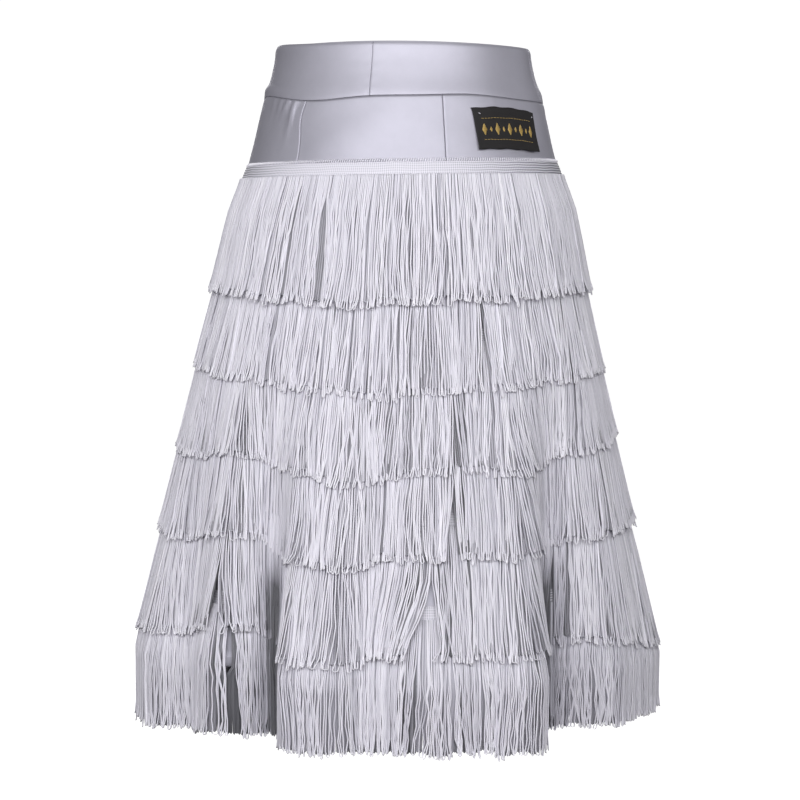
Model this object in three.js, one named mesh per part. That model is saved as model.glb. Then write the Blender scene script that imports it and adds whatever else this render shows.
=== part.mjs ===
// A flared dance skirt with six tiers of looped fringe, filled out as it is worn.
// Six gores run from a shaped waistband to the hem. Each tier of fringe hangs from
// a braid sewn round the gores, and a woven label lies on the left front hip.
// Millimetres, +Z up, front at -Y. The origin is the middle of the waist.
import * as THREE from 'three';

// Heights. A drop is measured down from the waistband's top edge at the front centre.
// The waistband dips a little towards both sides.
const WAIST_DROP = 26;
const BAND_DROP = 52;
const HIP_DROP = 82;
const HEM_DROP = 598;
const SIDE_DIP = 3;

// Walls and gaps
const CLOTH_WALL = 1.5;
const BAND_WALL = 2.4;
const BAND_PROUD = 0.7;
const SEAM_GAP = 0.3;

// Cut of the cloth
const GORES = 6;
const GORE_COLUMNS = 14;
const COLUMNS = GORES * GORE_COLUMNS;
const COLUMN_DEGREES = 360 / COLUMNS;
const FIRST_SEAM = -28;
const FOLD_GROWTH = 1.1;
const BAND_QUARTER_COLUMNS = 11;

// Fringe
const BRAID_HEIGHT = 14;
const BRAID_WALL = 2;
const LOCK_WALL = 2.4;
const LOCK_STAND_OFF = 9.5;
const LOCK_GAP_COLUMNS = 0.7;

// Label
const LABEL_WALL = 1.2;
const LABEL_FROM = 41;
const LABEL_TO = 77.5;
const LABEL_TOP = 62;
const LABEL_BOTTOM = 102;
const LABEL_COLUMNS = 9;

// Half widths of the worn form, from side to side and from front to back.
const FORM = [
  { drop: 0, side: 128, front: 97 },
  { drop: 14, side: 128.5, front: 97.5 },
  { drop: 33, side: 132.5, front: 101.5 },
  { drop: BAND_DROP, side: 140, front: 107.5 },
  { drop: 112, side: 154.5, front: 120 },
  { drop: HEM_DROP, side: 259, front: 231 },
];

// Ridges and troughs round the hem: the angle from the front centre towards the
// left side of the wearer, how deep the cloth is pressed in at the hem, and the
// drop at which the fold begins.
const FOLDS = [
  { at: -166, depth: 44, start: 330 },
  { at: -148, depth: 2, start: 330 },
  { at: -127, depth: 48, start: 320 },
  { at: -106, depth: 4, start: 320 },
  { at: -88, depth: 20, start: 350 },
  { at: -73, depth: 0, start: 300 },
  { at: -58, depth: 3, start: 300 },
  { at: -43, depth: 31, start: 325 },
  { at: -33, depth: 22, start: 330 },
  { at: -22.5, depth: 60, start: 300 },
  { at: -8, depth: 4, start: 300 },
  { at: 1, depth: 0, start: 330 },
  { at: 11, depth: 18, start: 360 },
  { at: 22, depth: 0, start: 290 },
  { at: 33, depth: 6, start: 380 },
  { at: 44, depth: 0, start: 290 },
  { at: 59.5, depth: 60, start: 300 },
  { at: 79, depth: 16, start: 330 },
  { at: 105, depth: 0, start: 320 },
  { at: 124, depth: 46, start: 320 },
  { at: 143, depth: 3, start: 330 },
  { at: 161, depth: 40, start: 340 },
  { at: 178, depth: 0, start: 320 },
];

// Each tier: the drop of its braid's top edge where its tips hang at their usual
// drop, the share of the tips' rise and fall that its braid follows, how far the
// braid is tilted down (+) or up (-) towards the wearer's left, how many columns
// each lock takes, and where along a lock it bends and how far it bulges.
const TIERS = [
  { braid: 116, tip: 252, follow: 0, tilt: -3, lockColumns: 3, bend: 0.15, bulge: 5 },
  { braid: 197, tip: 335, follow: 0.6, tilt: 0, lockColumns: 2, bend: 0.45, bulge: 0 },
  { braid: 276, tip: 414, follow: 0.6, tilt: 0, lockColumns: 2, bend: 0.45, bulge: 0 },
  { braid: 355, tip: 494, follow: 0.6, tilt: 0, lockColumns: 2, bend: 0.45, bulge: 0 },
  { braid: 445, tip: 582, follow: 0.6, tilt: 0, lockColumns: 2, bend: 0.45, bulge: 0 },
  { braid: 524, tip: 660, follow: 0.6, tilt: 0, lockColumns: 2, bend: 0.45, bulge: 0 },
];

// How far the tips hang above (-) or below (+) their usual drop, round the skirt,
// with a value for each tier from the top down.
const TIP_RISES = [
  { at: -150, tiers: [-7, -12, -12, -12, -2, 0] },
  { at: -90, tiers: [-15, -27, -26, -22, 1, 10] },
  { at: -55, tiers: [-9, -14, -11, -10, -5, 9] },
  { at: -33, tiers: [-4, -8, -16, -20, -19, 4] },
  { at: -8, tiers: [1, -2, -3, 0, 0, 5] },
  { at: 3, tiers: [1, 2, 6, 1, 2, 4] },
  { at: 12, tiers: [-1, 2, 0, -7, -8, 3] },
  { at: 25, tiers: [-4, -2, -10, -10, -7, 2] },
  { at: 45, tiers: [-5, -6, -6, -9, -6, 4] },
  { at: 70, tiers: [-11, -12, -20, -18, -9, -6] },
  { at: 107, tiers: [-15, -21, -36, -28, 10, -6] },
  { at: 150, tiers: [-8, -12, -14, -12, -2, 0] },
];

const SATIN = new THREE.Color('#a9a7b6');
const FRINGE_YARN = new THREE.Color('#b4b1c0');
const LABEL_BLACK = new THREE.Color('#16161a');

const radians = (degrees) => (degrees * Math.PI) / 180;
const mix = (from, to, share) => from + (to - from) * share;
const clamp01 = (value) => Math.min(1, Math.max(0, value));

// The form's half widths at a drop.
function formAt(drop) {
  const row = FORM.findIndex((entry, i) => i > 0 && (drop <= entry.drop || i === FORM.length - 1));
  const above = FORM[row - 1];
  const below = FORM[row];
  const share = clamp01((drop - above.drop) / (below.drop - above.drop));
  return {
    side: mix(above.side, below.side, share),
    front: mix(above.front, below.front, share),
  };
}

// The rows of a round table on either side of an angle, and the rounded share of
// the way from the first to the second.
function rowsAround(table, angle) {
  const turned = ((((angle - table[0].at) % 360) + 360) % 360) + table[0].at;
  const last = table.length - 1;
  let before = last;
  while (table[before].at > turned) before -= 1;
  const after = before === last ? 0 : before + 1;
  const span = (((table[after].at - table[before].at) % 360) + 360) % 360;
  const share = (turned - table[before].at) / span;
  return { before: table[before], after: table[after], share: (1 - Math.cos(Math.PI * share)) / 2 };
}

// How far one fold is pressed in at a drop.
function foldDepthAt(fold, drop) {
  const share = clamp01((drop - fold.start) / (HEM_DROP - fold.start));
  return fold.depth * share ** FOLD_GROWTH;
}

// How far the cloth is pressed in at an angle and a drop.
function pressedIn(angle, drop) {
  const { before, after, share } = rowsAround(FOLDS, angle);
  return mix(foldDepthAt(before, drop), foldDepthAt(after, drop), share);
}

// The cloth's outer face seen from above, at an angle and a drop.
function outline(angle, drop) {
  const hung = Math.min(drop, HEM_DROP);
  const { side, front } = formAt(hung);
  const x = side * Math.sin(radians(angle));
  const y = -front * Math.cos(radians(angle));
  const shrink = 1 - pressedIn(angle, hung) / Math.hypot(x, y);
  return new THREE.Vector2(x * shrink, y * shrink);
}

// A point that stands a distance out from the cloth's face, and is slid along it.
function pointOff(angle, drop, out, along = 0) {
  const step = 0.5;
  const tangent = outline(angle + step, drop).sub(outline(angle - step, drop)).normalize();
  const at = outline(angle, drop);
  return new THREE.Vector3(
    at.x + tangent.y * out + tangent.x * along,
    at.y - tangent.x * out + tangent.y * along,
    WAIST_DROP - drop,
  );
}

const columnAngle = (column) => FIRST_SEAM + column * COLUMN_DEGREES;
const steadyLevel = (drop) => () => drop;
const dippedLevel = (drop) => (angle) => drop + SIDE_DIP * Math.sin(radians(angle)) ** 2;

function tipRise(tierIndex, angle) {
  const { before, after, share } = rowsAround(TIP_RISES, angle);
  return mix(before.tiers[tierIndex], after.tiers[tierIndex], share);
}

// Levels of a tier at an angle: its tips, and its braid's top edge moved down a little.
const tipLevel = (tierIndex) => (angle) => TIERS[tierIndex].tip + tipRise(tierIndex, angle);
function braidLevel(tierIndex, down) {
  const { braid, follow, tilt } = TIERS[tierIndex];
  return (angle) => braid + follow * tipRise(tierIndex, angle) + tilt * Math.sin(radians(angle)) + down;
}

// Collects quads by their corner keys, and turns them into one closed geometry.
class Faces {
  constructor() {
    this.index = new Map();
    this.positions = [];
    this.triangles = [];
  }

  corner(key, makePoint) {
    if (!this.index.has(key)) {
      const point = makePoint();
      this.index.set(key, this.positions.length / 3);
      this.positions.push(point.x, point.y, point.z);
    }
    return this.index.get(key);
  }

  // Corners run anticlockwise, seen from outside.
  quad(a, b, c, d) {
    this.triangles.push(a, b, c, a, c, d);
  }

  geometry() {
    const made = new THREE.BufferGeometry();
    made.setAttribute('position', new THREE.Float32BufferAttribute(this.positions, 3));
    made.setIndex(this.triangles);
    made.computeVertexNormals();
    return made;
  }
}

const skirt = new THREE.Group();

function addPiece(name, geometry, color, roughness) {
  const material = new THREE.MeshStandardMaterial({ color, roughness, metalness: 0 });
  const mesh = new THREE.Mesh(geometry, material);
  mesh.name = name;
  skirt.add(mesh);
}

// A piece of cloth with a wall, over a run of angles and a run of levels from the
// top down. A level gives the drop at an angle. The two side edges stand half a
// seam's gap back from the seams.
function clothPanel(angles, levels, outer, wall) {
  const faces = new Faces();
  const lastColumn = angles.length - 1;
  const lastLevel = levels.length - 1;
  const slideOf = (c) => (c === 0 ? SEAM_GAP / 2 : c === lastColumn ? -SEAM_GAP / 2 : 0);
  const corner = (c, r, inner) => faces.corner(`${c},${r},${inner}`, () => {
    const drop = levels[r](angles[c]);
    return pointOff(angles[c], drop, inner ? outer - wall : outer, slideOf(c));
  });
  for (let c = 0; c < lastColumn; c += 1) {
    for (let r = 0; r < lastLevel; r += 1) {
      faces.quad(corner(c, r, 0), corner(c, r + 1, 0), corner(c + 1, r + 1, 0), corner(c + 1, r, 0));
      faces.quad(corner(c, r, 1), corner(c + 1, r, 1), corner(c + 1, r + 1, 1), corner(c, r + 1, 1));
    }
    faces.quad(corner(c, 0, 0), corner(c + 1, 0, 0), corner(c + 1, 0, 1), corner(c, 0, 1));
    faces.quad(
      corner(c, lastLevel, 0), corner(c, lastLevel, 1),
      corner(c + 1, lastLevel, 1), corner(c + 1, lastLevel, 0),
    );
  }
  for (let r = 0; r < lastLevel; r += 1) {
    faces.quad(corner(0, r, 0), corner(0, r, 1), corner(0, r + 1, 1), corner(0, r + 1, 0));
    faces.quad(
      corner(lastColumn, r, 0), corner(lastColumn, r + 1, 0),
      corner(lastColumn, r + 1, 1), corner(lastColumn, r, 1),
    );
  }
  return faces.geometry();
}

const anglesBetween = (from, to, count) => (
  Array.from({ length: count + 1 }, (_, i) => mix(from, to, i / count))
);

function addWaistband() {
  const levels = FORM.filter((row) => row.drop <= BAND_DROP).map((row) => dippedLevel(row.drop));
  const pieces = [
    { name: 'waistband_front_right', from: -90, to: 0, columns: BAND_QUARTER_COLUMNS },
    { name: 'waistband_front_left', from: 0, to: 90, columns: BAND_QUARTER_COLUMNS },
    { name: 'waistband_back', from: 90, to: 270, columns: 2 * BAND_QUARTER_COLUMNS },
  ];
  for (const piece of pieces) {
    const angles = anglesBetween(piece.from, piece.to, piece.columns);
    addPiece(piece.name, clothPanel(angles, levels, BAND_PROUD, BAND_WALL), SATIN, 0.38);
  }
}

// The gores' levels include both edges of every braid, so that each braid lies on
// the cloth without crossing it.
function goreLevels() {
  return [
    dippedLevel(BAND_DROP + SEAM_GAP),
    dippedLevel(HIP_DROP),
    ...TIERS.flatMap((tier, i) => [braidLevel(i, 0), braidLevel(i, BRAID_HEIGHT)]),
    steadyLevel(HEM_DROP),
  ];
}

function addGores() {
  const names = [
    'gore_front_centre', 'gore_front_left', 'gore_back_left',
    'gore_back_centre', 'gore_back_right', 'gore_front_right',
  ];
  names.forEach((name, i) => {
    const from = columnAngle(i * GORE_COLUMNS);
    const to = columnAngle((i + 1) * GORE_COLUMNS);
    const angles = anglesBetween(from, to, GORE_COLUMNS);
    addPiece(name, clothPanel(angles, goreLevels(), 0, CLOTH_WALL), SATIN, 0.38);
  });
}

// One tier: a braid right round the gores, with locks that grow from its lower edge.
// A lock widens towards its tip until it nearly meets the next one, and stands
// further off the cloth on the way down. Below the hem it hangs straight.
function fringeTier(tierIndex) {
  const tier = TIERS[tierIndex];
  const faces = new Faces();
  const braidTop = braidLevel(tierIndex, 0);
  const braidBottom = braidLevel(tierIndex, BRAID_HEIGHT);
  const tips = tipLevel(tierIndex);
  const ringCorner = (column, low, inner) => {
    const c = column % COLUMNS;
    return faces.corner(`ring ${c},${low},${inner}`, () => {
      const angle = columnAngle(c);
      const out = inner ? SEAM_GAP : SEAM_GAP + BRAID_WALL;
      return pointOff(angle, low ? braidBottom(angle) : braidTop(angle), out);
    });
  };
  const tipHalfWidth = (tier.lockColumns - LOCK_GAP_COLUMNS) / 2;

  function lockCorner(column, share, right, inner) {
    return faces.corner(`lock ${column},${share},${right},${inner}`, () => {
      const halfWidth = mix(0.5, tipHalfWidth, share);
      const angle = columnAngle(column + 0.5 + (right ? halfWidth : -halfWidth));
      const drop = mix(braidBottom(angle), tips(angle), share);
      const flared = clamp01((Math.min(drop, HEM_DROP) - braidBottom(angle)) / (tier.tip - tier.braid));
      const bulge = (tier.bulge * (1 - share)) / (1 - tier.bend);
      const off = SEAM_GAP + LOCK_STAND_OFF * flared + bulge;
      return pointOff(angle, drop, inner ? off : off + mix(BRAID_WALL, LOCK_WALL, share));
    });
  }

  function addLock(column) {
    const rings = [
      [ringCorner(column, 1, 0), ringCorner(column, 1, 1),
        ringCorner(column + 1, 1, 1), ringCorner(column + 1, 1, 0)],
      ...[tier.bend, 1].map((share) => [
        lockCorner(column, share, 0, 0), lockCorner(column, share, 0, 1),
        lockCorner(column, share, 1, 1), lockCorner(column, share, 1, 0),
      ]),
    ];
    for (let r = 0; r < rings.length - 1; r += 1) {
      for (let i = 0; i < 4; i += 1) {
        const next = (i + 1) % 4;
        faces.quad(rings[r][i], rings[r][next], rings[r + 1][next], rings[r + 1][i]);
      }
    }
    faces.quad(...rings[rings.length - 1]);
  }

  for (let c = 0; c < COLUMNS; c += 1) {
    const ring = (step, low, inner) => ringCorner(c + step, low, inner);
    faces.quad(ring(0, 0, 0), ring(0, 1, 0), ring(1, 1, 0), ring(1, 0, 0));
    faces.quad(ring(0, 0, 1), ring(1, 0, 1), ring(1, 1, 1), ring(0, 1, 1));
    faces.quad(ring(0, 0, 0), ring(1, 0, 0), ring(1, 0, 1), ring(0, 0, 1));
    if (c % tier.lockColumns === 0) {
      addLock(c);
    } else {
      faces.quad(ring(0, 1, 0), ring(0, 1, 1), ring(1, 1, 1), ring(1, 1, 0));
    }
  }
  return faces.geometry();
}

// The label follows the hip, just off the cloth.
function addLabel() {
  const angles = anglesBetween(LABEL_FROM, LABEL_TO, LABEL_COLUMNS);
  const levels = [LABEL_TOP, HIP_DROP, LABEL_BOTTOM].map(dippedLevel);
  const geometry = clothPanel(angles, levels, SEAM_GAP + LABEL_WALL, LABEL_WALL);
  addPiece('woven_label', geometry, LABEL_BLACK, 0.7);
}

addWaistband();
addGores();
TIERS.forEach((tier, i) => addPiece(`fringe_tier_${i + 1}`, fringeTier(i), FRINGE_YARN, 0.6));
addLabel();

export default skirt;
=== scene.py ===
import math

import bpy
import numpy as np
from mathutils import Euler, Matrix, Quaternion, Vector


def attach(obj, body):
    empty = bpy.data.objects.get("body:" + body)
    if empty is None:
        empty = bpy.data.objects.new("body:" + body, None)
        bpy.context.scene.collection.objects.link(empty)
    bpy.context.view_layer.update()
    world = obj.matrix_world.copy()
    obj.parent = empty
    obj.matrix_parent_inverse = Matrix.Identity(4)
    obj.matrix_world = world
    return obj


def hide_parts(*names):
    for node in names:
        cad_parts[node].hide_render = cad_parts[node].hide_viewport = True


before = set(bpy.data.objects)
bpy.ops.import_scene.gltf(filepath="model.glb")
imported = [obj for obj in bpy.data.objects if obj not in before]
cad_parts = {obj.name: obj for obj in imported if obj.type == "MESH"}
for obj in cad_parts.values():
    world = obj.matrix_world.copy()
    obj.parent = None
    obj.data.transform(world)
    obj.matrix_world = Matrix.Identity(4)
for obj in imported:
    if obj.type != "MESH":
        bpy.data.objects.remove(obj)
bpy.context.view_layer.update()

# Shared form of the skirt, in millimetres. A drop is measured down from the
# waistband's top edge, and an angle from the front centre towards the wearer's left.
MM = 0.001

# The drops of the origin, the waistband's seam, the hip, the satin's hem, and the level
# below which every ring is the same height all round.
WAIST_DROP = 26
BAND_DROP = 52
HIP_DROP = 82
HEM_DROP = 598
LEVEL_DROP = 112

SEAM_GAP = 0.3
GORE_DEGREES = 60
FIRST_SEAM = -28
FOLD_GROWTH = 1.1
BRAID_HEIGHT = 14
RIBS = 6

# Half widths from side to side and from front to back: drop, side, front.
FORM = np.array([
    (0, 128, 97),
    (14, 128.5, 97.5),
    (33, 132.5, 101.5),
    (BAND_DROP, 140, 107.5),
    (LEVEL_DROP, 154.5, 120),
    (HEM_DROP, 259, 231),
])

# Ridges and troughs round the hem: angle, depth pressed in at the hem, drop where it begins.
FOLDS = np.array([
    (-166, 44, 330), (-148, 2, 330), (-127, 48, 320), (-106, 4, 320),
    (-88, 20, 350), (-73, 0, 300), (-58, 3, 300), (-43, 31, 325),
    (-33, 22, 330), (-22.5, 60, 300), (-8, 4, 300), (1, 0, 330),
    (11, 18, 360), (22, 0, 290), (33, 6, 380), (44, 0, 290),
    (59.5, 60, 300), (79, 16, 330), (105, 0, 320), (124, 46, 320),
    (143, 3, 330), (161, 40, 340), (178, 0, 320),
])

# The wall of the right front fold is steeper than a rounded one: angle, depth added at
# the hem, half width in degrees, drop where it begins.
STEEP_WALL = (-13.5, 16, 4.5, 330)

# Each tier: the drop of its braid's top edge and of its tips, the share of the tips'
# rise and fall that its braid follows, how far it is tilted down (+) or up (-) towards
# the wearer's left, and how far the strands bulge under the braid.
TIERS = [
    dict(braid=116, tip=252, follow=0, tilt=-3, bulge=5),
    dict(braid=197, tip=335, follow=0.6, tilt=0, bulge=1),
    dict(braid=276, tip=414, follow=0.6, tilt=0, bulge=1),
    dict(braid=355, tip=494, follow=0.6, tilt=0, bulge=1),
    dict(braid=445, tip=582, follow=0.6, tilt=0, bulge=1),
    dict(braid=524, tip=660, follow=0.6, tilt=0, bulge=1),
]

# How far the tips hang above (-) or below (+) their usual drop: the angle, then a
# value for each tier from the top down.
TIP_RISES = np.array([
    (-150, -7, -12, -12, -12, -2, 0), (-90, -15, -27, -26, -22, 1, 10),
    (-55, -9, -14, -11, -10, -5, 9), (-33, -4, -8, -16, -20, -19, 4),
    (-8, 1, -2, -3, 0, 0, 5), (3, 1, 2, 6, 1, 2, 4),
    (12, -1, 2, 0, -7, -8, 3), (25, -4, -2, -10, -10, -7, 2),
    (45, -5, -6, -6, -9, -6, 4), (70, -11, -12, -20, -18, -9, -6),
    (107, -15, -21, -36, -28, 10, -6), (150, -8, -12, -14, -12, -2, 0),
])

GORES = [
    "gore_front_centre", "gore_front_left", "gore_back_left",
    "gore_back_centre", "gore_back_right", "gore_front_right",
]
GORE_SEAMS = [FIRST_SEAM + i * GORE_DEGREES for i in range(len(GORES))]

# How much lower the waistband and the hip lie at both sides.
SIDE_DIP = 3

# Where the waistband's lower edge sags (+) or is drawn up (-): angle, depth, half
# width, and how far above and below the edge that reaches.
BAND_SAGS = [
    (-23, 4.0, 17, 16), (-64, -4.8, 18, 16), (42, -2.7, 18, 16), (118, 1.6, 20, 16),
    (-150, 1.2, 24, 16),
]

# The waistband's top edge is drawn up at the right side: angle, height, half width, and
# how far down that reaches.
RAISED_TOP = (-64, 3.4, 24, 20)

# The waist is shifted towards the wearer's left, and the shift fades out between two drops.
WAIST_SHIFT = 2.6
SHIFT_FADES = (140, 330)


def smooth_step(low, high, value):
    share = np.clip((value - low) / (high - low), 0, 1)
    return share * share * (3 - 2 * share)


def bell(value, width):
    return np.exp(-((value / width) ** 2))


def away_from(angle, at):
    """Degrees from one angle to another, the short way round."""
    return (angle - at + 180) % 360 - 180


def form_at(drop):
    """Half widths at a drop, with the table's corners rounded off."""
    side = front = 0
    reach = (-6, -3, 0, 3, 6)
    for step in reach:
        side = side + np.interp(drop + step, FORM[:, 0], FORM[:, 1]) / len(reach)
        front = front + np.interp(drop + step, FORM[:, 0], FORM[:, 2]) / len(reach)
    return side, front


def wrapped(table):
    """A round table with its last row repeated before it and its first row after it."""
    before, after = table[-1:].copy(), table[:1].copy()
    before[:, 0] -= 360
    after[:, 0] += 360
    return np.concatenate([before, table, after])


FOLDS_ROUND = wrapped(FOLDS)
RISES_ROUND = wrapped(TIP_RISES)


def rows_around(table, angle):
    """Numbers of the rows on either side of an angle, and the rounded share between them."""
    turned = (angle - table[1, 0]) % 360 + table[1, 0]
    after = np.clip(np.searchsorted(table[:, 0], turned, side="right"), 1, len(table) - 1)
    before = after - 1
    share = (turned - table[before, 0]) / (table[after, 0] - table[before, 0])
    return before, after, (1 - np.cos(np.pi * share)) / 2


def pressed_in(angle, drop):
    """How far the cloth is pressed in, rounded from each ridge to its troughs."""
    before, after, share = rows_around(FOLDS_ROUND, angle)

    def depth(i):
        grown = np.clip((drop - FOLDS_ROUND[i, 2]) / (HEM_DROP - FOLDS_ROUND[i, 2]), 0, 1)
        return FOLDS_ROUND[i, 1] * grown ** FOLD_GROWTH

    at, deeper, wide, begins = STEEP_WALL
    steeper = deeper * bell(away_from(angle, at), wide) * smooth_step(begins, HEM_DROP, drop)
    return depth(before) * (1 - share) + depth(after) * share + steeper


def tip_rise(tier_index, angle):
    before, after, share = rows_around(RISES_ROUND, angle)
    column = RISES_ROUND[:, tier_index + 1]
    return column[before] * (1 - share) + column[after] * share


def dipped(drop, angle):
    """The drop of a point of the waistband or the hip once its edges dip, sag or are
    drawn up."""
    dip = SIDE_DIP * np.sin(np.radians(angle)) ** 2
    faded = 1 - np.clip((drop - HIP_DROP) / (LEVEL_DROP - HIP_DROP), 0, 1)
    sag = sum(
        deep * bell(away_from(angle, at), wide) * bell(drop - BAND_DROP, tall)
        for at, deep, wide, tall in BAND_SAGS
    )
    at, high, wide, tall = RAISED_TOP
    raised = high * bell(away_from(angle, at), wide) * bell(drop, tall) * (drop > 0)
    return drop + dip * faded + sag - raised


def braid_top(tier_index, angle):
    tier = TIERS[tier_index]
    tilted = tier["tilt"] * np.sin(np.radians(angle))
    return tier["braid"] + tier["follow"] * tip_rise(tier_index, angle) + tilted


def outline(angle, drop):
    """The cloth's outer face seen from above."""
    hung = np.minimum(drop, HEM_DROP)
    side, front = form_at(hung)
    x = side * np.sin(np.radians(angle))
    y = -front * np.cos(np.radians(angle))
    shrink = 1 - pressed_in(angle, hung) / np.hypot(x, y)
    shift = WAIST_SHIFT * (1 - smooth_step(*SHIFT_FADES, drop))
    return x * shrink + shift, y * shrink


def across(angle, drop):
    """Unit vector along the outline, and the outline's millimetres per degree."""
    step = 0.4
    ahead = outline(angle + step, drop)
    behind = outline(angle - step, drop)
    tx, ty = ahead[0] - behind[0], ahead[1] - behind[1]
    length = np.hypot(tx, ty)
    return tx / length, ty / length, length / (2 * step)


def point_off(angle, drop, out):
    """Points that stand a distance out from the cloth, stacked as (..., 3) in millimetres."""
    angle, drop, out = np.broadcast_arrays(angle, drop, out)
    x, y = outline(angle, drop)
    tx, ty, _ = across(angle, drop)
    return np.stack([x + ty * out, y - tx * out, WAIST_DROP - drop], axis=-1)


def outward(angle, drop):
    """Unit vectors that point out of the cloth."""
    tx, ty, _ = across(angle, drop)
    return np.stack([ty, -tx, np.zeros_like(tx)], -1)


def arc_table(drop, start=-180, end=180, count=1441):
    """Angles and the arc length at each of them, along the outline at a drop."""
    angles = np.linspace(start, end, count)
    x, y = outline(angles, drop)
    arcs = np.concatenate([[0], np.cumsum(np.hypot(np.diff(x), np.diff(y)))])
    return angles, arcs


# Materials

# Metres between the bands of a wave texture whose scale is 1.
WAVE_SPACING = 0.314
RIB_PITCH = BRAID_HEIGHT / RIBS * MM


class Shader:
    """A material with one Principled shader, and short ways to add nodes to it."""

    def __init__(self, name):
        self.material = bpy.data.materials.new(name)
        self.material.use_nodes = True
        self.tree = self.material.node_tree
        self.surface = self.tree.nodes["Principled BSDF"]

    def set(self, **values):
        for key, value in values.items():
            self.surface.inputs[key.replace("_", " ")].default_value = value
        return self

    def node(self, kind, inputs=None, **settings):
        made = self.tree.nodes.new(kind)
        for key, value in settings.items():
            setattr(made, key, value)
        for key, value in (inputs or {}).items():
            if isinstance(value, bpy.types.NodeSocket):
                self.tree.links.new(value, made.inputs[key])
            else:
                made.inputs[key].default_value = value
        return made

    def link(self, output, socket):
        self.tree.links.new(output, self.surface.inputs[socket])

    def ramp(self, factor, *stops):
        made = self.node("ShaderNodeValToRGB", {"Fac": factor})
        elements = made.color_ramp.elements
        while len(elements) < len(stops):
            elements.new(0.5)
        for element, (at, colour) in zip(elements, stops):
            element.position = at
            element.color = (*colour, 1)
        return made.outputs["Color"]

    def cloth_uv(self):
        return self.node("ShaderNodeUVMap", uv_map="Cloth").outputs["UV"]

    def place(self):
        return self.node("ShaderNodeTexCoord").outputs["Object"]

    def point_value(self, name):
        """A number kept for each of the mesh's points."""
        made = self.node("ShaderNodeAttribute", attribute_name=name, attribute_type="GEOMETRY")
        return made.outputs["Fac"]

    def turned(self, vector, **settings):
        return self.node("ShaderNodeMapping", {"Vector": vector, **settings}).outputs["Vector"]

    def noise(self, vector, scale, **settings):
        inputs = {"Vector": vector, "Scale": scale, **settings}
        return self.node("ShaderNodeTexNoise", inputs).outputs["Fac"]

    def wave(self, vector, scale, direction="X", distortion=0.0, phase=0.0):
        inputs = {"Vector": vector, "Scale": scale, "Distortion": distortion, "Phase Offset": phase}
        return self.node("ShaderNodeTexWave", inputs, bands_direction=direction).outputs["Fac"]

    def maths(self, operation, *values):
        made = self.node("ShaderNodeMath", dict(enumerate(values)), operation=operation)
        return made.outputs["Value"]

    def bump(self, height, strength, distance, after=None):
        inputs = {"Height": height, "Strength": strength, "Distance": distance}
        if after is not None:
            inputs["Normal"] = after
        return self.node("ShaderNodeBump", inputs).outputs["Normal"]


def satin_material():
    """Stretch satin: close diagonal weave, soft broad gloss, slight cloudiness."""
    s = Shader("satin")
    s.set(Roughness=0.62, Metallic=0.85, Specular_IOR_Level=0.3)
    cloud = s.noise(s.place(), 9, Detail=9, Roughness=0.75)
    tone = s.ramp(cloud, (0.3, (0.42, 0.412, 0.475)), (0.7, (0.48, 0.472, 0.54)))
    s.link(tone, "Base Color")
    uv = s.cloth_uv()
    weave = s.wave(s.turned(uv, Rotation=(0, 0, math.radians(27))), 420, distortion=0.6)
    slub = s.noise(uv, 900, Detail=2)
    s.link(s.bump(slub, 0.1, 0.0002, after=s.bump(weave, 0.12, 0.0002)), "Normal")
    return s.material


def fringe_material():
    """Rayon chain cord: each strand has its own tone, with painted shade and a painted
    highlight in it, and a fine knitted grain.
    """
    s = Shader("fringe")
    s.set(Roughness=0.5, Specular_IOR_Level=0.4, Sheen_Weight=0.1, Sheen_Roughness=0.5)
    # The ramp's dark end is painted shade for strands in deep folds, behind partings and in the back
    # layer, and its light end holds the painted highlight on the tips.
    tone = s.ramp(
        s.point_value("tone"),
        (0.0, (0.12, 0.12, 0.135)), (0.4, (0.47, 0.46, 0.525)), (0.7, (0.68, 0.665, 0.74)),
        (1.0, (0.80, 0.785, 0.85)),
    )
    s.link(tone, "Base Color")
    grain = s.noise(s.turned(s.place(), Scale=(1, 1, 0.6)), 1400, Detail=1)
    s.link(s.bump(grain, 0.25, 0.0004), "Normal")
    return s.material


def braid_material():
    """Knitted braid: upright wales over the modelled ribs, with painted shade in the grooves
    between, strongest round the sides.
    """
    s = Shader("braid")
    s.set(Roughness=0.55, Specular_IOR_Level=0.35, Sheen_Weight=0.1, Sheen_Roughness=0.5)
    uv = s.cloth_uv()
    wales = s.wave(uv, 157, distortion=0.3)
    ribs = s.wave(uv, WAVE_SPACING / RIB_PITCH, "Y", phase=math.pi / 2)
    # Painted shade: the rib grooves are darkened, most round the sides where the ribs open; the
    # ramp's dark end is this painted shade.
    grooves = s.maths("MULTIPLY", s.maths("SUBTRACT", 1.0, ribs), s.point_value("rib_groove_shade"))
    level = s.maths("MULTIPLY", s.maths("SUBTRACT", 1.0, grooves), 0.75)
    mixed = s.maths("MULTIPLY_ADD", wales, 0.25, level)
    tone = s.ramp(
        mixed,
        (0.0, (0.10, 0.10, 0.12)), (0.45, (0.30, 0.295, 0.34)), (0.75, (0.58, 0.57, 0.64)),
        (1.0, (0.72, 0.70, 0.77)),
    )
    s.link(tone, "Base Color")
    s.link(s.bump(mixed, 0.4, 0.0005), "Normal")
    return s.material


def label_material():
    """Woven label: black satin ground with fine cross threads."""
    s = Shader("label_weave")
    s.set(Roughness=0.6, Specular_IOR_Level=0.25)
    uv = s.cloth_uv()
    threads = s.maths("MULTIPLY", s.wave(uv, 330, "X"), s.wave(uv, 330, "Y"))
    tone = s.ramp(threads, (0.0, (0.010, 0.009, 0.010)), (1.0, (0.028, 0.026, 0.027)))
    s.link(tone, "Base Color")
    s.link(s.bump(threads, 0.4, 0.0003), "Normal")
    return s.material


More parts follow.
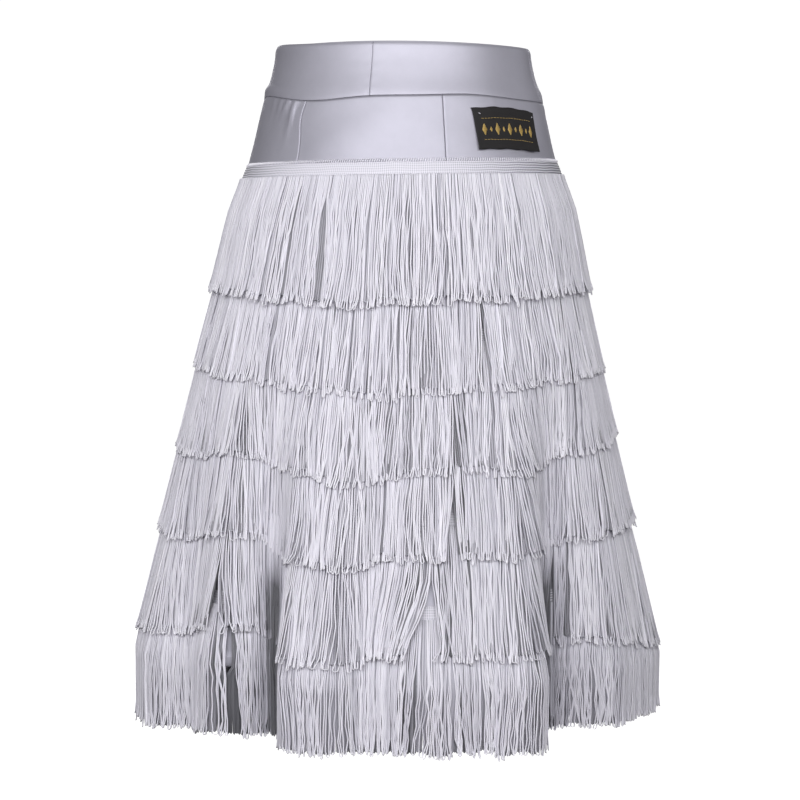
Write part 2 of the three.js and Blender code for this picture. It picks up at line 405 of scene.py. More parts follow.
def thread_material(name, dark, light, roughness, metallic=0.0):
    """Twisted sewing or metallic thread."""
    s = Shader(name)
    s.set(Roughness=roughness, Metallic=metallic, Specular_IOR_Level=0.5)
    twist = s.wave(s.place(), 500, "DIAGONAL", distortion=1.5)
    s.link(s.ramp(twist, (0.1, dark), (0.9, light)), "Base Color")
    s.link(s.bump(twist, 0.3, 0.0002), "Normal")
    return s.material


SATIN = satin_material()
FRINGE = fringe_material()
BRAID = braid_material()
LABEL = label_material()
THREAD = thread_material("seam_thread", (0.42, 0.41, 0.48), (0.62, 0.61, 0.68), 0.5)
GOLD = thread_material("gold_thread", (0.34, 0.22, 0.06), (0.72, 0.52, 0.18), 0.38, 0.35)


# Meshes


def mesh_object(name, points, faces, material, uvs=None):
    """An object from points in millimetres and an array of quads, shaded smooth."""
    mesh = bpy.data.meshes.new(name)
    points = np.ascontiguousarray(points, dtype=np.float32).reshape(-1, 3) * np.float32(MM)
    faces = np.ascontiguousarray(faces, dtype=np.int32).reshape(-1, 4)
    mesh.vertices.add(len(points))
    mesh.vertices.foreach_set("co", points.ravel())
    mesh.loops.add(faces.size)
    mesh.loops.foreach_set("vertex_index", faces.ravel())
    mesh.polygons.add(len(faces))
    mesh.polygons.foreach_set("loop_start", np.arange(0, faces.size, 4, dtype=np.int32))
    if uvs is not None:
        layer = mesh.uv_layers.new(name="Cloth")
        spread = np.ascontiguousarray(uvs, dtype=np.float32).reshape(-1, 2)[faces.ravel()]
        layer.uv.foreach_set("vector", (spread * MM).ravel())
    mesh.update(calc_edges=True)
    mesh.validate()
    mesh.polygons.foreach_set("use_smooth", np.ones(len(mesh.polygons), dtype=bool))
    mesh.materials.append(material)
    made = bpy.data.objects.new(name, mesh)
    bpy.context.scene.collection.objects.link(made)
    return made


def point_values(piece, name, values):
    """Keeps a number for each of a mesh's points, which its material reads."""
    layer = piece.data.attributes.new(name, "FLOAT", "POINT")
    layer.data.foreach_set("value", np.ascontiguousarray(values, dtype=np.float32))


def grid_faces(rows, columns, start=0, wrap=False, flip=False):
    """Quads of a grid whose points are numbered row by row."""
    across_count = columns if wrap else columns - 1
    r, c = np.meshgrid(np.arange(rows - 1), np.arange(across_count), indexing="ij")
    after = (c + 1) % columns
    here, below = r * columns, (r + 1) * columns
    quads = np.stack([here + c, below + c, below + after, here + after], -1).reshape(-1, 4)
    quads = quads + start
    return quads[:, ::-1] if flip else quads


def edge_ring(rows, columns):
    """Numbers of a grid's edge points, in order, right round it."""
    top = np.arange(columns)
    right = np.arange(1, rows) * columns + columns - 1
    bottom = (rows - 1) * columns + np.arange(columns - 2, -1, -1)
    left = np.arange(rows - 2, 0, -1) * columns
    return np.concatenate([top, right, bottom, left])


def cloth_shell(name, angles, drops, out, wall, material):
    """A thin closed shell of cloth. angles and drops are grids of rows by columns,
    and out is how far its outer face stands off the form."""
    rows, columns = angles.shape
    outer = point_off(angles, drops, out)
    inner = point_off(angles, drops, out - wall)
    count = rows * columns
    ring = edge_ring(rows, columns)
    rim = np.stack([ring, np.roll(ring, -1), np.roll(ring, -1) + count, ring + count], -1)
    outside, inside = grid_faces(rows, columns), grid_faces(rows, columns, count, flip=True)
    faces = np.concatenate([outside, inside, rim])
    steps = np.linalg.norm(np.diff(outer, axis=1), axis=2)
    run = np.concatenate([np.zeros((rows, 1)), np.cumsum(steps, axis=1)], 1)
    uv = np.stack([run, drops], -1).reshape(-1, 2)
    points = np.concatenate([outer.reshape(-1, 3), inner.reshape(-1, 3)])
    return mesh_object(name, points, faces, material, np.concatenate([uv, uv]))


TUBE_SIDES = 4


def tube_mesh(paths, normals, radius):
    """Points and faces of many four-sided tubes. paths is (tubes, points, 3), and the
    normals point out of the cloth."""
    count, length, _ = paths.shape
    tangent = np.gradient(paths, axis=1)
    tangent /= np.linalg.norm(tangent, axis=2, keepdims=True) + 1e-9
    side = np.cross(tangent, normals)
    side /= np.linalg.norm(side, axis=2, keepdims=True) + 1e-9
    raised = np.cross(side, tangent)
    turns = (np.arange(TUBE_SIDES) + 0.5) * 2 * np.pi / TUBE_SIDES
    radius = np.broadcast_to(np.asarray(radius, dtype=float), (count, length))[..., None, None]
    side, raised = side[:, :, None, :], raised[:, :, None, :]
    ring = np.cos(turns)[:, None] * side + np.sin(turns)[:, None] * raised
    points = paths[:, :, None, :] + radius * ring
    corner = np.arange(TUBE_SIDES)
    t, p, s = np.meshgrid(np.arange(count), np.arange(length - 1), corner, indexing="ij")
    base = (t * length + p) * TUBE_SIDES
    after = base + (s + 1) % TUBE_SIDES
    walls = np.stack([base + s, after, after + TUBE_SIDES, base + s + TUBE_SIDES], -1)
    first = np.arange(count)[:, None] * length * TUBE_SIDES + corner
    last = first + (length - 1) * TUBE_SIDES
    faces = np.concatenate([walls.reshape(-1, 4), first[:, ::-1], last])
    return points.reshape(-1, 3), faces


def tubes(name, groups, material):
    """One mesh of groups of tubes. A group is its paths, normals, radius and, for the
    fringe's cord, the tone at each point, painted shade and highlight included."""
    points, faces, tones = [], [], []
    start = 0
    for paths, normals, radius, *tone in groups:
        here, walls = tube_mesh(paths, normals, radius)
        points.append(here)
        faces.append(walls + start)
        start += len(here)
        tones += [np.broadcast_to(values, paths.shape[:2]).repeat(TUBE_SIDES) for values in tone]
    made = mesh_object(name, np.concatenate(points), np.concatenate(faces), material)
    if tones:
        point_values(made, "tone", np.concatenate(tones))
    return made


# Waistband and gores


def seam_groove(angle, drop, seams, depth, width):
    """A narrow groove along upright seams, a pressed ridge beside it, and small puckers."""
    _, _, per_degree = across(angle, drop)
    sunk = 0
    for seam in seams:
        away = away_from(angle, seam) * per_degree
        ridge = 0.12 * bell(away - 2.2, 1.0)
        pucker = 0.12 * np.sin(drop / 1.7 + seam) * bell(np.abs(away) - 3.5, 3)
        sunk = sunk + depth * bell(away, width) - ridge - pucker
    return sunk


def seam_columns(start, end, step):
    """Angles of a panel's columns, closer together beside its two seams."""
    near = np.array([0, 0.2, 0.45, 0.8, 1.2, 1.8])
    inset, margin = 0.05, 2.6
    count = int((end - start - 2 * margin) / step) + 1
    middle = np.linspace(start + margin, end - margin, count)
    return np.concatenate([start + inset + near, middle, (end - inset - near)[::-1]])


def soft_dents(angle, drop, size, seed):
    """Slow, uneven swells of handled cloth."""
    rng = np.random.default_rng(seed)
    total = 0
    for _ in range(7):
        turns = rng.integers(3, 11)
        tall = rng.uniform(45, 110)
        phase = rng.uniform(0, 2 * np.pi, 2)
        swell = np.sin(np.radians(angle) * turns + phase[0])
        total = total + swell * np.sin(drop / tall * 2 * np.pi + phase[1])
    return size * total / 3


BAND_SEAMS = (0, 90, -90)
BAND_PIECES = [
    ("waistband_front_right", -90, 0),
    ("waistband_front_left", 0, 90),
    ("waistband_back", 90, 270),
]
BAND_WALL = 1.6
GORE_WALL = 1.2

# Where the waistband rolls outwards above its lower edge, at ROLL_DROP: angle, height,
# half width.
BAND_ROLLS = [(-66, 2.4, 14), (104, 1.2, 12)]
ROLL_DROP = 43

# A crease above the roll at the right side: angle, drop, millimetres that it falls for
# each degree, depth, half width and half height.
CREASE = (-56, 37.48, 0.12, 0.8, 9, 1.6)


def band_out(angle, drop):
    """How far the waistband's face stands off the form: rolled top, pulled-in lower seam."""
    out = 0.6 + 0.6 * np.sin(np.clip(drop / BAND_DROP, 0, 1) * np.pi)
    out = out - 1.6 * bell(drop, 2.2) - 0.2 * bell(drop - BAND_DROP, 1.1)
    out = out - seam_groove(angle, drop, BAND_SEAMS, 0.14, 0.45)
    roll = sum(high * bell(away_from(angle, at), wide) for at, high, wide in BAND_ROLLS)
    out = out + roll * bell(drop - ROLL_DROP, 6)
    at, level, falls, deep, wide, tall = CREASE
    away = away_from(angle, at)
    crease = deep * bell(drop - level - falls * away, tall) * bell(away, wide)
    gathers = 0.1 * np.sin(np.radians(angle) * 130) * bell(drop - BAND_DROP, 6)
    return out - crease + soft_dents(angle, drop, 0.2, 11) + gathers


def build_waistband():
    rows = np.concatenate([
        [0, 0.5, 1.2, 2.4], np.linspace(4.5, BAND_DROP - 4, 18),
        [BAND_DROP - 2, BAND_DROP - 0.6, BAND_DROP],
    ])
    for name, start, end in BAND_PIECES:
        angles, drops = np.meshgrid(seam_columns(start, end, 1.5), rows)
        out = band_out(angles, drops)
        levels = dipped(drops, angles)
        piece = cloth_shell(name + "_satin", angles, levels, out, BAND_WALL, SATIN)
        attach(piece, "root")
        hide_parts(name)
        width = np.ptp(arc_table(BAND_DROP / 2, start, end)[1]) * MM


# Short gathers under the waistband: angle, degrees that it leans for each millimetre
# down, height and length.
GATHERS = [
    (-34.2, -0.06, 3.0, 28), (-39.2, -0.19, 2.6, 14), (-44.5, -0.1, 1.3, 16),
    (-51, -0.05, 0.8, 12), (52, 0.05, 0.3, 9), (97, 0.08, 0.7, 13), (103, 0.1, 0.9, 16),
    (151, -0.05, 0.6, 12), (203, 0.07, 0.6, 13), (262, -0.06, 0.8, 15),
]


def gore_out(angle, drop):
    """The gores' face: seams, the tuck under the band, short gathers and soft swells."""
    out = -seam_groove(angle, drop, GORE_SEAMS, 0.4, 0.5)
    out = out + 0.3 - 0.15 * bell(drop - BAND_DROP, 1.1)
    out = out + soft_dents(angle, drop, 0.5, 5) * smooth_step(BAND_DROP, 80, drop)
    for at, lean, height, long in GATHERS:
        away = away_from(angle, at) - (drop - BAND_DROP) * lean
        out = out + height * bell(away, 0.95) * bell(drop - BAND_DROP - 3, long)
    turned_up = smooth_step(HEM_DROP - 12, HEM_DROP - 10.5, drop)
    return out + 0.4 * turned_up - 0.5 * bell(drop - HEM_DROP, 1.5)


def seam_bow(angle, drop):
    """The two front seams bow towards the wearer's right above the fringe."""
    right_seam, left_seam = GORE_SEAMS[:2]
    left = 2.6 * bell(away_from(angle, left_seam), 9) * (1 - smooth_step(150, 300, drop))
    right = 1.7 * bell(away_from(angle, right_seam), 6) * bell(drop - 72, 20)
    return angle - left - right


def build_gores():
    pieces = []
    rows = np.concatenate([
        np.linspace(BAND_DROP + SEAM_GAP, 66, 8), np.linspace(69, 117, 14),
        np.linspace(130, 582, 33), [586, 587.5, 590, 594, 596.8, HEM_DROP],
    ])
    for name, start in zip(GORES, GORE_SEAMS):
        angles, drops = np.meshgrid(seam_columns(start, start + GORE_DEGREES, 1.45), rows)
        out = gore_out(angles, drops)
        bowed = seam_bow(angles, drops)
        levels = dipped(drops, bowed)
        piece = cloth_shell(name + "_satin", bowed, levels, out, GORE_WALL, SATIN)
        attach(piece, "root")
        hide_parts(name)
        pieces.append(piece)
    return pieces


def gore_cut(start):
    """Width at the hem, length and area of a gore's flat cut, in metres."""
    drops = np.linspace(BAND_DROP, HEM_DROP, 60)
    end = start + GORE_DEGREES
    widths = np.array([np.ptp(arc_table(drop, start, end, 121)[1]) for drop in drops])
    middle = (start + end) / 2
    line = point_off(np.full_like(drops, middle), drops, 0.0)
    steps = np.linalg.norm(np.diff(line, axis=0), axis=1)
    area = float((steps * (widths[1:] + widths[:-1]) / 2).sum())
    return widths.max() * MM, steps.sum() * MM, area * MM * MM


# Braids and fringe

LOWEST = len(TIERS) - 1
USUAL_STRAND = 135

# How far strands cling aside to open slits, how far whole stretches of them lean, and
# how far the tiers stand off the cloth once the skirt has flared under their braids.
SLIT_SIZE = 0.6
LEAN_SIZE = 2.3
STAND_OFF = 6.2
FLARE_LENGTH = 140

# Shares of loops that cross their neighbours, and of loops that hang too low, above the
# lowest tier and in it.
CROSS_SHARE = 0.07
STRAY_SHARE = 0.03
LOWEST_STRAY_SHARE = 0.015

# Shares of a strand's length at which it has points. Only the last half of the lower
# tiers' strands shows, and the lowest tier hangs free.
UPPER_SHARES = [0, 0.013, 0.07, 0.17, 0.30, 0.43, 0.56, 0.69, 0.82, 0.93, 1]
MIDDLE_SHARES = [0, 0.28, 0.42, 0.56, 0.70, 0.83, 0.93, 1]
LOWEST_SHARES = [0, 0.32, 0.46, 0.56, 0.66, 0.78, 0.89, 0.96, 1]
BACK_SHARES = [0, 0.4, 0.7, 1]
LOWEST_BACK_SHARES = [0, 0.4, 0.48, 0.55, 0.8, 1]

# Each tier hangs in two layers. The front one clings in bundles with slits between, and
# the plain back one shows through the slits, its lower tone painted shade. For each: the
# strands' spacing, above the lowest tier and in it, their radius and tone, and how far
# their tips are drawn up, above the lowest tier and in it.
LAYERS = dict(
    front=dict(pitch=1.45, lowest_pitch=1.32, radius=0.82, tone=0.72, short=0, lowest_short=0),
    # The back layer's low tone is painted shade.
    back=dict(pitch=2.0, lowest_pitch=1.25, radius=1.2, tone=0.30, short=6, lowest_short=2),
)

# Where strands part and show what is under them: tier from 0, angle, how far those
# towards the wearer's right and left swing away, how far round that reaches, and the
# shares of the strand's length between which the gap opens.
PARTINGS = [
    (1, 38.8, 3, 4, 14, 0.35, 0.9), (2, 29.0, 7, 3, 18, 0.4, 1.0),
    (3, 28.4, 9, 4, 20, 0.35, 1.0), (4, 23.0, 24, 2, 34, 0.3, 1.0),
    (4, -33, 3, 7, 14, 0.45, 1.0), (5, -30.3, 6.5, 7, 11, 0.0, 0.2),
    (5, 15.6, 0.9, 0.9, 2.4, 0.35, 0.5), (5, 16.7, 0.8, 0.8, 2.4, 0.35, 0.5),
    (5, 17.6, 1, 1, 2.4, 0.35, 0.5), (5, 19.0, 0.8, 0.8, 2.4, 0.35, 0.5),
    (5, 28.8, 3, 3, 7, 0.82, 1.0), (4, 62.5, 3, 3, 7, 0.3, 0.55),
    (2, 112, 4, 6, 16, 0.4, 1.0), (4, 140, 5, 16, 26, 0.35, 1.0),
    (3, 176, 6, 5, 18, 0.4, 1.0), (5, 101, 3, 2.5, 8, 0.1, 0.4),
    (4, -148, 14, 4, 24, 0.35, 1.0), (3, -104, 5, 7, 18, 0.4, 1.0),
    (2, -142, 5, 4, 14, 0.4, 1.0), (5, -106, 3, 3, 7, 0.6, 1.0),
    (5, 178, 3, 2.5, 7, 0.7, 1.0),
]

# A parting that opens past this share of the length is only a notch in the tips.
NOTCH_OPENS = 0.8

# Over these millimetres below the cloth's hem the back layer closes behind a parting,
# and over these it falls in, by this much, because no cloth holds it out.
CLOSES_OVER = 8
FALLS_IN_OVER = 18
FALLS_IN = 3

# Deep folds, where strands sink in and those beside them stand out: the angle and half
# width of the sunken stretch, how far the lips towards the wearer's right and left slide
# over it, and the half width of the painted shade in it. Sizes round the skirt are in
# degrees and slides in millimetres.
DEEP_FOLDS = [
    (-20.5, 6.2, 2, -8, 4.0), (59.5, 4.8, 3, -2, 4.4), (124, 3.8, 4, 4, 3.5),
    (-127, 3.8, 4, 4, 3.5), (161, 3.4, 4, 4, 3.0), (-166, 3.4, 4, 4, 3.0),
]

# How far strands sink into a deep fold and stand out at its lips, the drops between
# which that grows, and the drops between which its painted shade does.
FOLD_SINK = 7
LIP_RISE = 3.5
FOLD_GROWS = (340, 480)
SHADE_GROWS = (480, 530)

# The most that painted shade darkens strands in a deep fold, and the back layer in a parting.
FOLD_DARKNESS = 0.9
PARTING_DARKNESS = 0.3


def fold_lips(angle, drop):
    """How far strands stand out, and slide round, beside the deep folds."""
    out = slide = 0
    for at, width, right, left, _ in DEEP_FOLDS:
        away = away_from(angle, at)
        out = out - FOLD_SINK * bell(away, width)
        out = out + LIP_RISE * bell(np.abs(away) - 2.0 * width, 0.9 * width)
        slide = slide + right * bell(away + 1.9 * width, width)
        slide = slide - left * bell(away - 1.9 * width, width)
    grown = smooth_step(*FOLD_GROWS, drop)
    return out * grown, slide * grown


def fold_shade(angle, drop):
    """Painted shade: how much darker strands are inside the deep folds, where light hardly reaches.
    """
    shade = sum(bell(away_from(angle, at), width) for at, *_, width in DEEP_FOLDS)
    return FOLD_DARKNESS * shade * smooth_step(*SHADE_GROWS, drop)


def parting_shade(i, angle):
    """Painted shade: how much darker the back layer is behind a tier's partings."""
    shade = 0
    for tier_index, at, right, left, *_ in PARTINGS:
        if tier_index == i:
            wide = right + left
            dark = min(0.08 * wide, PARTING_DARKNESS)
            shade = shade + dark * bell(away_from(angle, at), max(0.2 * wide, 0.8))
    return np.minimum(shade, PARTING_DARKNESS)


def smooth_field(rng, waves, shortest, longest, tall):
    """A smooth random field over the arc length round the skirt and the drop, about 1
    in size, from waves between two lengths."""
    turns = 1 / rng.uniform(shortest, longest, waves)
    climbs = rng.normal(0, 1 / tall, waves)
    phases = rng.uniform(0, 2 * np.pi, waves)

    def field(place, drop):
        total = 0
        for turn, climb, phase in zip(turns, climbs, phases):
            total = total + np.sin(2 * np.pi * (place * turn + drop * climb) + phase)
        return total / np.sqrt(waves / 2)

    return field


def braid_out(i, share):
    """How far the middle of a braid's thickness stands off the cloth, from top to bottom."""
    return SEAM_GAP + 1.0 + (2.4 * share if i == 0 else 0.3 * share)


def build_braid(i, tier):
    """A knitted tape with ribs along it, sewn on outside the cloth and rolled at both
    edges. The ribs open where the tape stretches round the sides, and painted shade
    darkens the grooves between them most there."""
    columns = 420 if i == 0 else 200
    angles = np.linspace(-180, 180, columns, endpoint=False)
    shares = np.linspace(0, 1, 25 if i == 0 else 13)
    # How far the ribs open round the sides, which also sets how much painted shade their grooves get.
    stretch_and_groove_shade = 0.22 + 0.78 * np.abs(np.sin(np.radians(angles))) ** 3
    ribs = 0.5 * stretch_and_groove_shade * np.abs(np.sin(shares * np.pi * RIBS))[:, None] ** 0.6
    rolled = 0.9 * np.sin(np.clip(shares, 0.03, 0.97) * np.pi) ** 0.3
    out = (braid_out(i, shares) + rolled)[:, None] + ribs - 0.6
    rng = np.random.default_rng(70 + i)
    wave = sum(
        rng.uniform(0.05, 0.16)
        * np.sin(np.radians(angles) * rng.integers(9, 40) + rng.uniform(0, 6.28))
        for _ in range(5)
    )
    drops = braid_top(i, angles)[None, :] + wave[None, :] + shares[:, None] * BRAID_HEIGHT
    spread = np.broadcast_to(angles, drops.shape)
    front = point_off(spread, drops, out + 0.2 * wave[None, :])
    back = point_off(spread, drops, np.full_like(drops, SEAM_GAP + 0.1))
    rows = len(shares)
    count = rows * columns
    here = np.arange(columns)
    after = (here + 1) % columns
    low = (rows - 1) * columns
    top_rim = np.stack([here, after, after + count, here + count], -1)
    low_rim = np.stack([low + here, low + count + here, low + count + after, low + after], -1)
    outside = grid_faces(rows, columns, wrap=True)
    inside = grid_faces(rows, columns, count, wrap=True, flip=True)
    faces = np.concatenate([outside, inside, top_rim, low_rim])
    run = np.interp(angles, *arc_table(tier["braid"]))
    down = np.broadcast_to(shares[:, None] * BRAID_HEIGHT, drops.shape)
    uv = np.stack([np.broadcast_to(run, drops.shape), down], -1).reshape(-1, 2)
    points = np.concatenate([front.reshape(-1, 3), back.reshape(-1, 3)])
    piece = mesh_object(f"braid_{i + 1}", points, faces, BRAID, np.concatenate([uv, uv]))
    # Painted shade for the rib grooves, which the braid's material reads.
    point_values(piece, "rib_groove_shade", np.tile(stretch_and_groove_shade, 2 * rows))
    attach(piece, "root")
    return piece


def strand_shares(i, front):
    if i == 0:
        return UPPER_SHARES
    if front:
        return MIDDLE_SHARES if i < LOWEST else LOWEST_SHARES
    return BACK_SHARES if i < LOWEST else LOWEST_BACK_SHARES


def opened_partings(i, angle, share, drop, per_degree, front):
    """How far strands swing aside and stand out beside a tier's partings. The two legs
    of a loop go the same way. Below the cloth's hem the back layer closes again, except
    behind the short notches at the tips."""
    shift = raised = 0
    angle = angle.reshape(-1, 2).mean(axis=1).repeat(2)
    closed = 0 if front else smooth_step(HEM_DROP, HEM_DROP + CLOSES_OVER, drop)
    for tier_index, at, right, left, reach, opens, full in PARTINGS:
        if tier_index == i:
            away = away_from(angle, at) * per_degree
            swing = np.where(away < 0, -right, left) * np.exp(-np.abs(away) / reach)
            opened = smooth_step(opens, full, share) * (1 + share) / 2
            swing = swing * opened * (1 - closed * (opens < NOTCH_OPENS))
            shift = shift + swing
            raised = raised + np.abs(swing) * 0.12
    return shift, raised


def strand_paths(i, tier, layer, fields, rng):
    """Angles, drops and stand-offs of the points of one layer's strands, which are the
    legs of loops."""
    slits, leans, swells = fields
    front = layer == "front"
    made = LAYERS[layer]
    pitch, short = made["pitch"], made["short"]
    if i == LOWEST:
        pitch, short = made["lowest_pitch"], made["lowest_short"]
    angles, arcs = arc_table(tier["braid"] + BRAID_HEIGHT)
    loops = int(arcs[-1] / pitch / 2)
    legs = loops * 2
    uneven = 0.25 if front else 0.08
    places = (np.arange(legs) + rng.uniform(-uneven, uneven, legs)) / legs * arcs[-1]
    angle = np.interp(places, arcs, angles)

    wave_size = rng.uniform(0.1, 0.45, legs) * front
    wave_long = rng.uniform(35, 95, legs)
    wave_phase = rng.uniform(0, 2 * np.pi, legs)
    crosses = ((rng.random(loops) < CROSS_SHARE) & front).repeat(2)
    crossing = crosses * rng.normal(0, 4, loops).repeat(2)
    depth = rng.uniform(0, 0.5, legs) + 1.3 * front + 0.9 * crosses

    long = 1.1 * swells(places, 0) + rng.normal(0, 1.0 if front else 0.4, loops).repeat(2)
    stray_share = STRAY_SHARE if i < LOWEST else LOWEST_STRAY_SHARE
    strays = (rng.random(loops) < stray_share) & front
    long = long + (strays * rng.uniform(2, 6, loops)).repeat(2)
    hook = rng.normal(0, 1.3 if front else 0.2, loops).repeat(2)
    kick = rng.uniform(-0.2, 1.6, loops).repeat(2)

    start = braid_top(i, angle) + BRAID_HEIGHT - 2
    tip = tier["tip"] + tip_rise(i, angle) + long - 1 - short
    root_out = braid_out(i, 1) + 0.1
    follows = 1 if front else 0.5 * (i < LOWEST)
    now = angle.copy()
    before = start
    points = []
    for share in strand_shares(i, front):
        # A strand falls straight down, so it slips round where the form's lines lean.
        drop = start + (tip - start) * share
        half = (drop + before) / 2
        tx, ty, per_degree = across(now, half)
        ahead = outline(now, half + 2)
        behind = outline(now, half - 2)
        slip = ((ahead[0] - behind[0]) * tx + (ahead[1] - behind[1]) * ty) / 4
        now = now - slip / per_degree * (drop - before) * follows
        before = drop
        hung = (drop - start) / USUAL_STRAND
        flared = np.clip((np.minimum(drop, HEM_DROP) - start) / FLARE_LENGTH, 0, 1)
        end = smooth_step(0.9, 1, share)
        wave = wave_size * np.sin(drop / wave_long * 2 * np.pi + wave_phase)
        lip_out, lip_slide = fold_lips(now, drop)
        parted, raised = opened_partings(i, angle, share, drop, per_degree, front)
        split = SLIT_SIZE * slits(places, drop) if front else 0
        lean = LEAN_SIZE * leans(places, drop) + lip_slide
        if not front:
            lean = 0.35 * lean
        shift = (
            (split + wave) * smooth_step(0.02, 0.25, hung)
            + (lean + crossing) * smooth_step(0, 1, hung) + hook * end + parted
        )
        bulge = tier["bulge"] * smooth_step(0, 0.3, hung) * (1 - hung)
        out = root_out + (STAND_OFF + lip_out) * flared + bulge + depth + raised + kick * end
        if not front:
            out = out - FALLS_IN * smooth_step(HEM_DROP, HEM_DROP + FALLS_IN_OVER, drop)
        points.append(np.stack([now + shift / per_degree, drop, np.maximum(out, 1.3 + depth)]))
    return np.stack(points, -1)


def build_layer(i, tier, layer, fields, rng):
    """Looped strands of one layer: their paths, the cloth's normals, radii and tones,
    which hold painted shade and a painted highlight.
    """
    front = layer == "front"
    made = LAYERS[layer]
    turned, drops, outs = strand_paths(i, tier, layer, fields, rng)
    legs = point_off(turned, drops, outs)
    normal = outward(turned, drops)
    left, right = legs[0::2], legs[1::2]
    tip = (left[:, -1] + right[:, -1]) / 2
    tip = tip + rng.uniform(0, 0.9, (len(tip), 1)) * normal[0::2, -1]
    tip[:, 2] -= rng.uniform(0.6, 1.6, len(tip))
    path = np.concatenate([left, tip[:, None], right[:, ::-1]], 1)
    normals = np.concatenate([normal[0::2], normal[0::2, -1:], normal[1::2, ::-1]], 1)

    radius = made["radius"] * rng.uniform(0.9, 1.1, (len(tip), 1)) * np.ones(path.shape[1])
    middle = path.shape[1] // 2
    radius[:, middle] *= 0.65
    radius[:, [middle - 1, middle + 1]] *= 0.9

    # Painted shade: the tone is darkened in the deep folds and, for the back layer, behind the
    # partings.
    shade = fold_shade(turned, drops) + (0 if front else parting_shade(i, turned))
    shade = np.concatenate([shade[0::2], shade[0::2, -1:], shade[1::2, ::-1]], 1)
    tone = made["tone"] + rng.normal(0, 0.1, (len(tip), 1)) - shade
    # Painted highlight: the front loops' tips are made lighter.
    if front:
        tone[:, middle - 1:middle + 2] += 0.25
    return path, normals, radius, np.clip(tone, 0, 1)


def build_fringe(i, tier):
    """One tier of looped strands, front and back layer in one mesh."""
    rng = np.random.default_rng(100 + i)
    slits = smooth_field(rng, 14, 3.8, 11, 34)
    leans = smooth_field(rng, 12, 24, 130, 300)
    swells = smooth_field(rng, 10, 12, 90, 300)
    layers = [build_layer(i, tier, layer, (slits, leans, swells), rng) for layer in LAYERS]
    piece = tubes(f"fringe_{i + 1}", layers, FRINGE)
    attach(piece, "root")
    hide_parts(f"fringe_tier_{i + 1}")
    return piece


def stitch_row(angles, drops, outs, turn, rise, lift):
    """Paths of short stitches: each leans by turn degrees and rise millimetres, and
    stands up by lift in its middle."""
    steps = np.array([-0.5, 0, 0.5])
    spread = angles[:, None] + steps * turn
    levels = drops[:, None] - steps * rise
    raised = outs[:, None] + lift * np.array([-0.6, 1, -0.6])
    return point_off(spread, levels, raised), outward(spread, levels)


def build_overlock():
    """Slanted stitches that hold the top edge of the uppermost braid."""
    pitch = 2.3
    angles, arcs = arc_table(TIERS[0]["braid"])
    places = np.arange(0, arcs[-1] - pitch, pitch)
    at = np.interp(places, arcs, angles)
    drops = braid_top(0, at) - 1.1
    outs = np.full_like(at, SEAM_GAP + 1.1)
    paths, normals = stitch_row(at, drops, outs, 0.4, 3.4, 0.8)
    piece = tubes("overlock_stitches", [(paths, normals, 0.5, 1.0)], FRINGE)
    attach(piece, "root")
    return piece


# Label and visible thread

LABEL_FROM, LABEL_TO = 41, 77.5
LABEL_TOP, LABEL_BOTTOM = 62, 102
LABEL_WALL = 0.8

# The tacks at the label's top corners: the two ends of each, as (u, v) and (u, v).
LABEL_TACKS = [(0.075, 0.12, 0.095, 0.14), (0.945, 0.13, 0.965, 0.11)]


def label_place(u, v):
    """Angle, drop and stand-off at a share across and a share down the label, which is
    skewed, arched along its top and curled at its lower edge."""
    from_angle = LABEL_FROM - 0.3 + 2.0 * np.sqrt(v) - 0.4 * v
    to_angle = LABEL_TO - 2.2 - 2.0 * v
    angle = from_angle + (to_angle - from_angle) * u
    arch = -2.6 * np.sin(u * np.pi) * (1 - 0.4 * v) + 1.2 * (u - 0.5)
    corner = 1.9 * (1 - u) * (1 - v)
    edge = 0.3 * np.sin(u * 23 + 1) * (2 * v - 1)
    drop = LABEL_TOP + 0.9 + v * (LABEL_BOTTOM - LABEL_TOP + 0.4) + arch + edge + corner
    curl = 1.3 * v ** 3 * (0.6 + 0.4 * np.cos(u * 7)) + 1.1 * np.abs(2 * u - 1) ** 6 * v
    return angle, dipped(drop, angle), SEAM_GAP + 1.7 + curl + 0.25 * np.sin(u * 9 + v * 4)


def build_label():
    u, v = np.meshgrid(np.linspace(0, 1, 70), np.linspace(0, 1, 40))
    angles, drops, out = label_place(u, v)
    piece = cloth_shell("woven_label_cloth", angles, drops, out, LABEL_WALL, LABEL)
    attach(piece, "root")
    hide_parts("woven_label")
    middle = label_place(np.linspace(0, 1, 60), np.full(60, 0.5))
    width = np.linalg.norm(np.diff(point_off(*middle), axis=0), axis=1).sum() * MM
    return piece, width


def label_threads(name, runs, radius, material, above=0.18):
    """Threads on the label's face. Each run is its two ends, (u, v) and (u, v)."""
    runs = np.array(runs, dtype=float)
    steps = np.linspace(0, 1, 5)[None, :, None]
    uv = runs[:, None, 0:2] * (1 - steps) + runs[:, None, 2:4] * steps
    angles, drops, out = label_place(uv[..., 0], uv[..., 1])
    lift = above * np.array([-1.2, 1, 1, 1, -1.2])
    paths = point_off(angles, drops, out + lift)
    piece = tubes(name, [(paths, outward(angles, drops), radius)], material)
    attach(piece, "root")
    return piece


def build_label_ornament():
    """A plain row of lozenges, large and small by turns, between two running lines."""
    runs = []
    for k in range(9):
        u = 0.12 + k * 0.095
        tall, wide, rows = (0.13, 0.034, 10) if k % 2 == 0 else (0.05, 0.016, 4)
        for row in range(-rows, rows + 1):
            reach = wide * (1 - abs(row) / (rows + 1)) + 0.003
            v = 0.5 + tall * row / rows
            runs.append((u - reach, v, u + reach, v))
    for v in (0.24, 0.76):
        runs += [(u, v, u + 0.03, v) for u in np.arange(0.1, 0.9, 0.045)]
    return label_threads("label_gold_thread", runs, 0.3, GOLD)


def thread_piece(name, paths, normals, radius):
    piece = tubes(name, [(paths, normals, radius)], THREAD)
    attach(piece, "root")
    return piece


